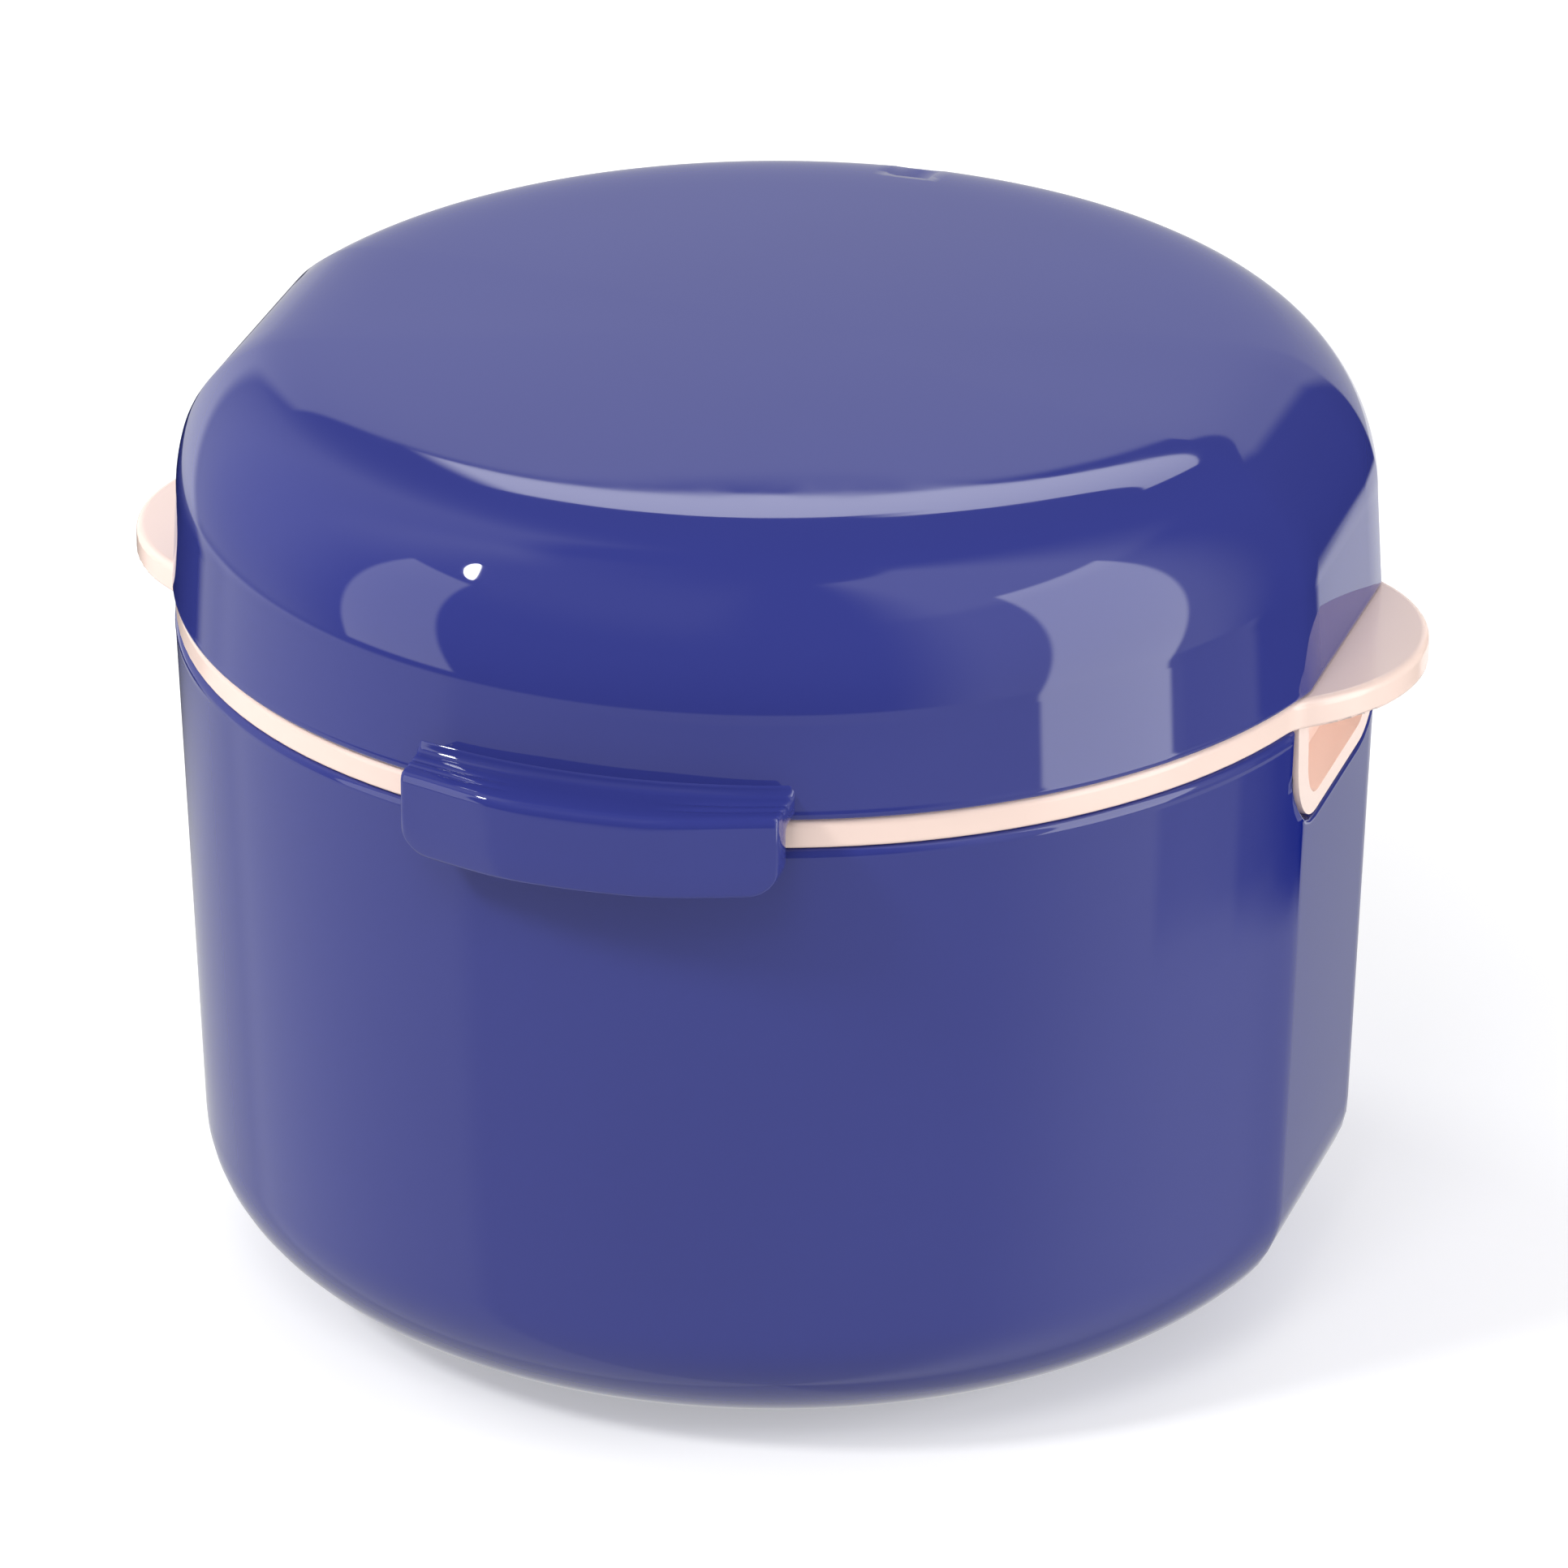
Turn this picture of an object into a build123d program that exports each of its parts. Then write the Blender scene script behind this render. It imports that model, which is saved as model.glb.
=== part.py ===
from build123d import *
from math import radians, tan
import os

# Round denture soaking case. The cup stands on Z = 0 with its axis on Z. The latch is at -Y,
# the hinge at +Y and the basket's two handles are at +X and -X. All sizes are millimetres.

# ---- plan form: a circle with one shallow flat on each side, under the handles ----
lid_radius = 45.0           # lid outline at its lower edge
rim_step = 0.15             # cup rim inside the lid's edge
flange_step = 0.25          # flange inside the lid's edge
side_flat_depth = 1.2       # how far each side flat is pushed into the round outline
flat_corner_lag = 0.05      # corners start this much later on the flats than on the round wall

# ---- cup ----
cup_height = 51.25
cup_wall = 1.6
cup_floor = 1.8
cup_draft = 2.3             # degrees, per side
base_run = 16.5             # base corner, inwards
base_rise = 11.4            # base corner, upwards
rim_round = 0.6

# ---- lid ----
lid_height = 18.6           # from its lower edge to the foot of the crown
lid_crown = 0.9             # rise of the top at its centre
lid_wall = 1.7
lid_edge_round = 0.3
lid_draft = 3.0             # degrees, per side
shoulder_run = 10.5         # shoulder, inwards
shoulder_rise = 11.2        # shoulder, upwards

# ---- strainer basket ----
flange_thickness = 2.25
flange_top_round = 0.6
flange_foot_round = 0.3
basket_wall = 1.2
basket_floor = 1.4
basket_draft = 2.5          # degrees, per side
basket_gap = 0.7            # basket wall to cup wall at the rim
soak_depth = 8.25           # from the cup's floor up to the basket
basket_corner_run = 13.0
basket_corner_rise = 11.0
handle_round = 14.4         # planform radius of a handle
handle_inset = 9.5          # its centre, inside the flange's edge
handle_blend = 3.0          # concave blend between flange and handle
drain_hole_diameter = 3.0
drain_hole_pitch = 6.5
drain_ring_count = 3
wall_slot_width = 2.6
wall_slot_foot_gap = 8.0    # basket foot to the slots' lower end
wall_slot_top_gap = 18.0    # flange to the slots' upper end
wall_slot_count = 24

# ---- finger pocket under each handle ----
pocket_half_width = 8.8
pocket_depth = 7.3          # below the flange
pocket_corner = 3.0
pocket_reach = 2.7          # from the frame's face to the back of the recess
pocket_side_rail = 2.9      # frame beside the recess
pocket_foot_rail = 1.4      # frame below the recess
frame_corner = 5.4
frame_set_back = 0.35       # frame face behind the cup's flat
notch_gap = 0.45            # cup notch around the frame

# ---- latch ----
latch_width = 28.3
flap_reach = 4.9            # front face, out from the lid's lower edge
flap_wall = 2.6
flap_drop = 1.9             # flap foot below the cup rim
flap_corner = 2.2
flap_top_round = 0.7
shelf_rise = 1.95           # shelf top above the lid's lower edge
shelf_thickness = 1.6
flex_line_reach = 1.2       # living hinge, out from the lid's lower edge
flex_gap = 0.5
ledge_gap = 0.3             # flap wall below the lid's ledge
hook_reach = 0.8            # inwards from the flap wall, at its middle
hook_height = 0.8
hook_width = 16.0           # straight lip
catch_gap = 0.3             # between hook and catch, outwards and upwards
catch_height = 0.7

# ---- rear hinge: a pin held in the lid's knuckle, resting in open saddles on the cup ----
hinge_reach = 3.2           # pin axis, out from the lid's lower edge
hinge_rise = 0.85           # pin axis above the lid's lower edge
pin_radius = 1.0
pin_clearance = 0.05        # in the saddles, radial
knuckle_radius = 2.3
knuckle_width = 12.0
knuckle_side_gap = 0.3
knuckle_arm_run = 1.4       # outer corner of the arm, out from the pin
knuckle_arm_rise = 1.8      # the same corner, up from the pin
arm_root_rise = 5.8         # top of the arm at the lid wall, up from the pin
saddle_width = 5.0
saddle_root_depth = 1.5     # past the cup's wall, trimmed by the cup's inside
saddle_drop = 10.0          # foot of the saddle below the cup rim
saddle_cheek = 4.6          # upright outer side of the saddle, below the pin
wall_bite = 0.9             # how far joined features sink into a wall

# ---- small recess at the rear of the lid's top ----
relief_step = 0.5           # its start, out from the foot of the crown
relief_depth = 1.1
relief_floor_width = 1.9
relief_mouth_width = 4.0

# ---- places and fits that follow from the above ----
seat_gap = 0.05             # cup rim to flange, and flange to lid edge
rim_radius = lid_radius - rim_step
flange_radius = lid_radius - flange_step
flange_foot_z = cup_height + seat_gap
flange_top_z = flange_foot_z + flange_thickness
lid_edge_z = flange_top_z + seat_gap
lid_shoulder_z = lid_edge_z + lid_height
cup_flat_x = rim_radius - side_flat_depth
basket_radius = rim_radius - cup_wall - basket_gap
basket_foot_z = cup_floor + soak_depth
handle_centre = flange_radius - handle_inset
wall_slot_foot_z = basket_foot_z + wall_slot_foot_gap
wall_slot_height = flange_foot_z - wall_slot_top_gap - wall_slot_foot_z
frame_face_x = cup_flat_x - frame_set_back
pocket_back_x = frame_face_x - pocket_reach
frame_half_width = pocket_half_width + pocket_side_rail
frame_depth = pocket_depth + pocket_foot_rail
flap_radius = lid_radius + flap_reach
flap_foot_z = cup_height - flap_drop
hook_face_y = flap_wall + hook_reach - flap_radius
catch_foot_z = flap_foot_z + hook_height + catch_gap
shelf_top_z = lid_edge_z + shelf_rise
shelf_foot_z = shelf_top_z - shelf_thickness
flex_line_y = -lid_radius - flex_line_reach
shelf_back_y = flex_line_y - flex_gap / 2
hinge_y = lid_radius + hinge_reach
hinge_z = lid_edge_z + hinge_rise
hinge_pin_length = knuckle_width + 2 * (knuckle_side_gap + saddle_width)
saddle_root_y = rim_radius - cup_wall - saddle_root_depth
crown_radius = lid_radius - (lid_height - shoulder_rise) * tan(radians(lid_draft)) - shoulder_run
relief_start_y = crown_radius + relief_step
relief_floor_z = lid_shoulder_z - relief_depth
beyond = 10.0               # cutters run this far past what they cut


def flatted_form(
    mouth_radius, mouth_z, end_z, draft, corner_run, corner_rise, crown=0.0, mouth_round=0.0
):
    """Solid drum that narrows from its mouth to its closed end, with a flat on each side.

    The round outline is turned about Z. The flats come from the same outline, pushed inwards by
    the flat depth and drawn out along Y, so they follow the wall and the corner all the way.
    """
    towards_end = 1 if end_z > mouth_z else -1
    corner_z = end_z - towards_end * corner_rise
    wall_end = mouth_radius - abs(corner_z - mouth_z) * tan(radians(draft))
    end_radius = wall_end - corner_run
    flat_end = end_radius - side_flat_depth
    crown_over_flat = crown * (1 - (flat_end / end_radius) ** 2)
    flat_raise = crown_over_flat + towards_end * flat_corner_lag
    past_end_z = end_z + towards_end * beyond

    def draw_wall(inset, raised):
        mouth = mouth_radius - inset
        wall_z = mouth_z + towards_end * mouth_round
        Line((0, mouth_z), (mouth - mouth_round, mouth_z))
        if mouth_round:
            round_centre = (mouth - mouth_round, wall_z)
            CenterArc(round_centre, mouth_round, -towards_end * 90, arc_size=towards_end * 90)
        Line((mouth, wall_z), (wall_end - inset, corner_z + raised))
        corner_centre = (end_radius - inset, corner_z + raised)
        corner_start = 0 if towards_end > 0 else 270
        EllipticalCenterArc(corner_centre, corner_run, corner_rise, corner_start, arc_size=90)

    with BuildPart() as form:
        with BuildSketch(Plane.XZ):
            with BuildLine():
                draw_wall(0, 0)
                if crown:
                    crown_z = end_z + crown
                    Bezier((end_radius, end_z), (end_radius / 2, crown_z), (0, crown_z))
                else:
                    Line((end_radius, end_z), (0, end_z))
                Line((0, end_z + crown), (0, mouth_z))
            make_face()
        revolve(axis=Axis.Z)
        with BuildSketch(Plane.XZ):
            with BuildLine():
                draw_wall(side_flat_depth, flat_raise)
                flat_top = (flat_end, end_z + flat_raise)
                Polyline(flat_top, (flat_end, past_end_z), (0, past_end_z), (0, mouth_z))
            make_face()
            mirror(about=Plane.YZ)
        extrude(amount=mouth_radius + beyond, both=True, mode=Mode.INTERSECT)
    return form.part


def pocket_outline(plane, half_width, depth, corner, overlap):
    """U-shaped outline that hangs from the flange, seen along X."""
    with BuildSketch(plane) as outline:
        with Locations((0, flange_foot_z - depth)):
            Rectangle(2 * half_width, depth + overlap, align=(Align.CENTER, Align.MIN))
        fillet(outline.vertices().group_by(Axis.Y)[0], corner)
    return outline.sketch


def front_band(z, outer_radius, inner_radius, width):
    """Part of a flat ring at the front of the case, cut to a width along X."""
    with BuildSketch(Plane.XY.offset(z)) as band:
        Circle(outer_radius)
        Circle(inner_radius, mode=Mode.SUBTRACT)
        band_align = (Align.CENTER, Align.MAX)
        Rectangle(width, outer_radius, align=band_align, mode=Mode.INTERSECT)
    return band.sketch


# ---- cup ----
cup_outside = flatted_form(
    rim_radius, cup_height, 0, cup_draft, base_run, base_rise, mouth_round=rim_round
)
cup_inside = flatted_form(
    rim_radius - cup_wall,
    cup_height,
    cup_floor,
    cup_draft,
    base_run - cup_wall,
    base_rise - cup_floor,
)
notch_outline = pocket_outline(
    Plane.YZ,
    frame_half_width + notch_gap,
    frame_depth + notch_gap,
    frame_corner + notch_gap,
    beyond,
)
catch_outline = front_band(
    catch_foot_z, -hook_face_y - catch_gap, rim_radius - wall_bite, hook_width
)
with BuildPart() as cup:
    add(cup_outside)
    with BuildSketch(Plane.YZ.offset(knuckle_width / 2 + knuckle_side_gap)):
        with Locations((hinge_y, hinge_z)):
            Circle(knuckle_radius)
        with BuildLine():
            Polyline(
                (saddle_root_y, cup_height - saddle_drop),
                (hinge_y + knuckle_radius, hinge_z - saddle_cheek),
                (hinge_y + knuckle_radius, hinge_z),
                (hinge_y - knuckle_radius, hinge_z),
                (hinge_y - knuckle_radius, cup_height - rim_round),
                (saddle_root_y, cup_height - rim_round),
                close=True,
            )
        make_face()
        with Locations((hinge_y, hinge_z)):
            slot_radius = pin_radius + pin_clearance
            Circle(slot_radius, mode=Mode.SUBTRACT)
            slot_align = (Align.CENTER, Align.MIN)
            Rectangle(2 * slot_radius, beyond, align=slot_align, mode=Mode.SUBTRACT)
    saddle = extrude(amount=saddle_width)
    mirror(saddle, about=Plane.YZ)
    extrude(catch_outline, amount=catch_height)
    add(cup_inside, mode=Mode.SUBTRACT)
    extrude(notch_outline, amount=rim_radius + beyond, both=True, mode=Mode.SUBTRACT)

# ---- strainer basket, with the flange, the handles and the finger pockets ----
basket_outside = flatted_form(
    basket_radius,
    flange_foot_z + flange_foot_round,
    basket_foot_z,
    basket_draft,
    basket_corner_run,
    basket_corner_rise,
)
basket_inside = flatted_form(
    basket_radius - basket_wall,
    flange_top_z,
    basket_foot_z + basket_floor,
    basket_draft,
    basket_corner_run - basket_wall,
    basket_corner_rise - basket_floor,
)
frame_outline = pocket_outline(
    Plane.YZ.offset(pocket_back_x - basket_wall),
    frame_half_width,
    frame_depth,
    frame_corner,
    flange_foot_round,
)
recess_outline = pocket_outline(
    Plane.YZ.offset(pocket_back_x), pocket_half_width, pocket_depth, pocket_corner, 0
)
with BuildPart() as strainer_basket:
    with BuildSketch(Plane.XY.offset(flange_foot_z)) as flange_outline:
        Circle(flange_radius)
        with Locations((handle_centre, 0), (-handle_centre, 0)):
            Circle(handle_round)
        meets = flange_outline.vertices().filter_by_position(Axis.X, -flange_radius, flange_radius)
        fillet(meets, handle_blend)
    extrude(amount=flange_thickness)
    fillet(strainer_basket.edges().group_by(Axis.Z)[-1], flange_top_round)
    fillet(strainer_basket.edges().group_by(Axis.Z)[0], flange_foot_round)
    add(basket_outside)
    add(basket_inside, mode=Mode.SUBTRACT)
    frame = extrude(frame_outline, amount=frame_face_x - pocket_back_x + basket_wall)
    mirror(frame, about=Plane.YZ)
    recess = extrude(recess_outline, amount=pocket_reach + beyond, mode=Mode.SUBTRACT)
    mirror(recess, about=Plane.YZ, mode=Mode.SUBTRACT)
    with BuildSketch(Plane.XY.offset(basket_foot_z)):
        Circle(drain_hole_diameter / 2)
        for ring in range(1, drain_ring_count + 1):
            with PolarLocations(ring * drain_hole_pitch, 6 * ring):
                Circle(drain_hole_diameter / 2)
    extrude(amount=basket_floor, mode=Mode.SUBTRACT)
    with BuildSketch(Plane.XY.offset(wall_slot_foot_z)):
        with PolarLocations(basket_radius - side_flat_depth, wall_slot_count):
            Rectangle(2 * (side_flat_depth + 2 * basket_wall), wall_slot_width)
    extrude(amount=wall_slot_height, mode=Mode.SUBTRACT)

# ---- lid, with the ledge that carries the latch and the hinge knuckle ----
lid_outside = flatted_form(
    lid_radius,
    lid_edge_z,
    lid_shoulder_z,
    lid_draft,
    shoulder_run,
    shoulder_rise,
    lid_crown,
    lid_edge_round,
)
lid_inside = flatted_form(
    lid_radius - lid_wall,
    lid_edge_z,
    lid_shoulder_z - lid_wall,
    lid_draft,
    shoulder_run - lid_wall,
    shoulder_rise - lid_wall,
    lid_crown,
)
lid_root_radius = lid_radius - wall_bite
with BuildPart() as lid:
    add(lid_outside)
    add(lid_inside, mode=Mode.SUBTRACT)
    with BuildSketch(Plane.XY.offset(shelf_foot_z)):
        with Locations((0, flex_line_y + flex_gap / 2)):
            Rectangle(latch_width, beyond, align=(Align.CENTER, Align.MIN))
        Circle(lid_root_radius, mode=Mode.SUBTRACT)
    extrude(amount=shelf_thickness)
    with BuildSketch(Plane.YZ.offset(-knuckle_width / 2)):
        with Locations((hinge_y, hinge_z)):
            Circle(knuckle_radius)
        with BuildLine():
            Polyline(
                (lid_root_radius, hinge_z),
                (lid_root_radius, hinge_z + arm_root_rise),
                (hinge_y + knuckle_arm_run, hinge_z + knuckle_arm_rise),
                (hinge_y, hinge_z),
                close=True,
            )
        make_face()
        with Locations((hinge_y, hinge_z)):
            Circle(pin_radius, mode=Mode.SUBTRACT)
    extrude(amount=knuckle_width)
    with BuildSketch(Plane.XZ.offset(-relief_start_y)):
        with BuildLine():
            Polyline(
                (-relief_floor_width / 2, relief_floor_z),
                (-relief_mouth_width / 2, lid_shoulder_z),
                (-relief_mouth_width / 2, lid_shoulder_z + lid_crown),
                (relief_mouth_width / 2, lid_shoulder_z + lid_crown),
                (relief_mouth_width / 2, lid_shoulder_z),
                (relief_floor_width / 2, relief_floor_z),
                close=True,
            )
        make_face()
    extrude(amount=-beyond, mode=Mode.SUBTRACT)

# ---- hinge pin, pressed into the lid's knuckle ----
with BuildPart() as hinge_pin:
    with BuildSketch(Plane.YZ.offset(-hinge_pin_length / 2)):
        with Locations((hinge_y, hinge_z)):
            Circle(pin_radius)
    extrude(amount=hinge_pin_length)

# ---- latch flap: front wall, hook below it and the shelf up to the flex line ----
flap_wall_outline = front_band(flap_foot_z, flap_radius, flap_radius - flap_wall, latch_width)
with BuildPart() as latch_flap:
    extrude(flap_wall_outline, amount=shelf_top_z - flap_foot_z)
    with BuildSketch(Plane.XY.offset(flap_foot_z)):
        with Locations((0, hook_face_y)):
            hook_align = (Align.CENTER, Align.MAX)
            Rectangle(hook_width, hook_reach + flap_wall / 2, align=hook_align)
    extrude(amount=hook_height)
    with BuildSketch(Plane.XY.offset(shelf_foot_z)):
        Circle(flap_radius)
        with Locations((0, shelf_back_y)):
            shelf_align = (Align.CENTER, Align.MAX)
            Rectangle(latch_width, beyond, align=shelf_align, mode=Mode.INTERSECT)
    extrude(amount=shelf_thickness)
    with BuildSketch(Plane.XY.offset(shelf_foot_z - ledge_gap)):
        with Locations((0, shelf_back_y)):
            Rectangle(2 * latch_width, beyond, align=(Align.CENTER, Align.MIN))
    extrude(amount=beyond, mode=Mode.SUBTRACT)
    with BuildSketch(Plane.XZ) as front_view:
        with Locations((0, flap_foot_z)):
            Rectangle(latch_width, shelf_top_z - flap_foot_z, align=(Align.CENTER, Align.MIN))
        fillet(front_view.vertices().group_by(Axis.Y)[0], flap_corner)
    extrude(amount=flap_radius + beyond, mode=Mode.INTERSECT)
    top_front_edge = latch_flap.edges().group_by(Axis.Z)[-1].filter_by(GeomType.CIRCLE)
    fillet(top_front_edge, flap_top_round)

os.makedirs("parts", exist_ok=True)

cup.part.label = "cup"
export_step(cup.part, "parts/cup.step")

strainer_basket.part.label = "strainer_basket"
export_step(strainer_basket.part, "parts/strainer_basket.step")

lid.part.label = "lid"
export_step(lid.part, "parts/lid.step")

hinge_pin.part.label = "hinge_pin"
export_step(hinge_pin.part, "parts/hinge_pin.step")

latch_flap.part.label = "latch_flap"
export_step(latch_flap.part, "parts/latch_flap.step")
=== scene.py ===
from math import acos, asin, cos, pi, radians, sin, sqrt, tan

import bmesh
import bpy
import numpy as np
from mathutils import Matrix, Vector


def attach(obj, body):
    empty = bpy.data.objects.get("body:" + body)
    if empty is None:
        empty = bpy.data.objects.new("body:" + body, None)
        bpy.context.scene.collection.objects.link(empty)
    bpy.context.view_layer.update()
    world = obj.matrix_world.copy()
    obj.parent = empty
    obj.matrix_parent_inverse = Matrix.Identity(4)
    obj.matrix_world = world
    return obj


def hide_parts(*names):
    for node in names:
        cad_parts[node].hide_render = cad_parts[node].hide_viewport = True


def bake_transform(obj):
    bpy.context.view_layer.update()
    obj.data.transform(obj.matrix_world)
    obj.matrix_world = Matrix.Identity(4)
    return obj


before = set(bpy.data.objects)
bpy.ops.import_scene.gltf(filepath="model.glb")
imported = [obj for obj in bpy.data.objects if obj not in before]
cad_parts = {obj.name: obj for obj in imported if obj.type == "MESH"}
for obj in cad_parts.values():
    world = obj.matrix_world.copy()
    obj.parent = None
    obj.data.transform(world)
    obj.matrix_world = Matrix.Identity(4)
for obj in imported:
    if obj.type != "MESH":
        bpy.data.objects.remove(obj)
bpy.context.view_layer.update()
scene = bpy.context.scene
MM = 0.001

# ---------------------------------------------------------------- sizes
# Lengths are millimetres and angles are degrees, unless their line says otherwise.
# The case stands on Z = 0 with its axis on Z, the latch at -Y, the hinge at +Y, handles at +-X.

# plan form: a circle with a shallow flat on each side
flat_depth = 1.2  # how far each flat is pushed into the round outline
smallest_ring = 25.0  # rings inside this one are scaled copies of it
crease_zone = 0.01  # points this near a crease, as a share of the flat's half width, are on it
flat_bend = 0.15  # share of a crease's angle that the shading smooths away, half on each side
flat_fade = radians(3.0)  # how far round the wall the smoothing reaches
small_round_steps = 3  # steps in the round of a thin edge
prism_edge = 0.15  # width of the softened edges on straight pieces

# lid
lid_radius = 45.0  # at the lower edge
lid_edge_z = 53.6
lid_draft = radians(3.0)
lid_wall = 1.7
lid_edge_round = 0.3
lid_wall_rows = (60.9, 60.5, 57.5, 54.4, 54.1)  # heights, from the shoulder down
shoulder_foot_z = 61.0
shoulder_run = 10.5  # inwards
shoulder_rise = 11.2  # upwards
shoulder_centre = lid_radius - (shoulder_foot_z - lid_edge_z) * tan(lid_draft) - shoulder_run
shoulder_join = 25.0  # degrees short of its top, where the shoulder meets the crown's turn
shoulder_inner_end = 85.0  # degrees, where the inside of the shoulder meets the inside of the crown
crown_z = 73.1  # its highest point
crown_rise = 0.9  # above the top of the shoulder
crown_edge = 29.0  # the crown turns into the shoulder from here outwards
crown_lead = 4.6  # reach of the turn's tangent on the crown
crown_tail = 1.9  # reach of the turn's tangent on the shoulder
hub_radius = 4.0  # innermost ring of the crown, closed by a fan
crown_rows = 9  # rings of the crown's outside
crown_inner_rows = (30.0, 20.0, 10.0, hub_radius)  # radii of the rings of its inside
lid_flat_columns = (0, 0.33, 0.67)  # shares of the flat's half width
lid_near_flat_columns = (0, 0.015, 0.03, 0.05)  # shares of the round part, close to the flat
lid_round_columns = np.linspace(0.07, 0.94, 40)  # and from there to the recess

# small recess in the rear of the lid's top
relief_start = 34.6  # it runs outwards from here
relief_floor_z = 71.1
relief_floor_half = 0.95
relief_mouth_half = 2.0
relief_radius = 39.0  # its widths hold at about this radius
relief_arc = 1.34  # radians from a flat to the middle of the rear, roughly

# cup
cup_radius = 44.85  # at the rim
cup_height = 51.25
cup_wall = 1.6
cup_floor = 1.8
cup_draft = radians(2.3)
base_run = 16.5  # base corner, inwards
base_rise = 11.4  # base corner, upwards
base_ring_shares = (0.25, 0.6, 0.85)  # rings of the flat base, as shares of its radius
rim_round = 0.6  # outer edge of the rim
inner_round = 0.3  # inner edge of the rim
rim_row_drops = (1.8, 1.2, 0.9, 0.0)  # rows near the rim, down from it

# notch in the cup's rim under each handle
notch_half = 12.15
notch_foot_z = 42.15
notch_corner = 5.85
notch_round = 0.25  # both edges of the notch
notch_zone_z = 37.0  # rows above this one bend around the notches
notch_row_shares = (0.35, 0.65, 0.85, 0.93, 1.0)  # of the way from there to the notch's edge
notch_row_rise = 0.4  # first row above the notch's corners
notch_flat_columns = (0.0, 2.1, 4.2)  # columns on the notch's straight foot, from its middle
notch_inner_shares = (0.0, 0.35, 0.7)  # columns on the corner's part that lies on the flat
notch_outer_shares = (0.25, 0.5, 0.75, 1.0)  # columns on its part beyond the crease
after_notch = 0.011  # the next column, as a share of the round part
wall_from = 0.03  # even columns start here beyond the notch, as a share of the round part
wall_columns = 44

# latch
latch_half = 14.15  # half its width
latch_radius = lid_radius + 4.9  # front face
latch_wall = 2.6
latch_foot_z = cup_height - 1.9
latch_corner = 2.2  # round of the two lower corners, seen from the front
latch_end_round = 0.3
latch_bite = 0.8  # how far the ledge's root sinks into the lid
latch_upper_z = 53.0  # front wall rows; below this one the corners lift the foot
latch_middle_z = 51.5
latch_corner_shares = (0.25, 0.4, 0.55, 0.7, 0.85, 1.0)  # rows across a lower corner
latch_middle_rows = 16  # from a corner to the middle
latch_straight = 4.0  # beyond this half width the front turns back
latch_ease = 1.0  # and ends this much further back
shelf_z = lid_edge_z + 1.95
shelf_foot_z = shelf_z - 1.6
shelf_round = 0.7
shelf_fillet = 0.8  # between shelf and lid
shelf_inner_fillet = 0.5  # under the shelf, behind the front wall
grooves = (46.6, 47.8)  # radii at which the shelf's grooves start
groove_width = 0.7
groove_depth = 0.1
groove_lean = 0.6  # below 1, the deepest line lies nearer the lid
groove_points = 11
groove_from = 5.0  # the grooves fade in from this half width outwards
groove_to = 10.0  # and have their full depth from this one
hook_half = 8.0
hook_height = 0.8
hook_face_y = latch_wall + 0.8 - latch_radius
hook_bite = 0.6  # how far the hook sinks into the front wall
catch_radius = 46.2
catch_height = 0.7
catch_foot_z = latch_foot_z + hook_height + 0.3
catch_root_y = -44.0  # inside the cup's wall, at the middle
catch_root_end_y = -43.6  # and at the catch's ends

# hinge
hinge_y = lid_radius + 3.2
hinge_z = lid_edge_z + 0.85
knuckle_radius = 2.3
knuckle_half = 6.0
knuckle_root_y = 44.1  # inside the lid's wall
knuckle_span = (30.0, -170.0)  # degrees, the round part of its outline
arm_foot_drop = 0.4  # foot of the arm at the lid, below the pin
arm_root_rise = 5.8  # top of the arm at the lid, above the pin
arm_run = 1.4  # outer corner of the arm, out from the pin
arm_rise = 1.8  # the same corner, up from the pin
pin_slot = 1.05  # radius of the open saddle
saddle_near = knuckle_half + 0.3
saddle_far = saddle_near + 5.0
saddle_root_y = 42.9  # inside the cup's wall
saddle_drop = 10.0  # foot of the saddle, below the rim
saddle_cheek = 4.6  # upright outer side of the saddle, below the pin


# ---------------------------------------------------------------- places and colours
def direction(azimuth, elevation):
    """Unit vector from the case. Azimuth runs from -Y towards +X, both are degrees."""
    a = radians(azimuth)
    e = radians(elevation)
    return Vector((sin(a) * cos(e), -cos(a) * cos(e), sin(e)))


def link_aimed(name, data, toward, target, distance):
    """Camera or lamp that looks at the target from a distance, in metres."""
    holder = bpy.data.objects.new(name, data)
    holder.location = Vector(target) + toward * distance
    holder.rotation_mode = "QUATERNION"
    holder.rotation_quaternion = (-toward).to_track_quat("-Z", "Y")
    scene.collection.objects.link(holder)
    return holder


def srgb(code):
    """Linear colour from six hexadecimal digits."""
    parts = [int(code[i : i + 2], 16) / 255 for i in (0, 2, 4)]
    return [p / 12.92 if p <= 0.04045 else ((p + 0.055) / 1.055) ** 2.4 for p in parts]


# ---------------------------------------------------------------- materials
def new_material(name):
    material = bpy.data.materials.new(name)
    material.use_nodes = True
    tree = material.node_tree
    tree.nodes.clear()
    return material, tree.nodes, tree.links


def add_noise(nodes, links, place, scale, detail):
    noise = nodes.new("ShaderNodeTexNoise")
    noise.inputs["Scale"].default_value = scale
    noise.inputs["Detail"].default_value = detail
    links.new(place.outputs["Object"], noise.inputs["Vector"])
    return noise.outputs["Fac"]


def add_range(nodes, links, value, source, target, smooth=False):
    """Carries a value from one range over to another, and holds it at the ends."""
    node = nodes.new("ShaderNodeMapRange")
    if smooth:
        node.interpolation_type = "SMOOTHSTEP"
    node.inputs["From Min"].default_value = source[0]
    node.inputs["From Max"].default_value = source[1]
    node.inputs["To Min"].default_value = target[0]
    node.inputs["To Max"].default_value = target[1]
    links.new(value, node.inputs["Value"])
    return node.outputs["Result"]


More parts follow.
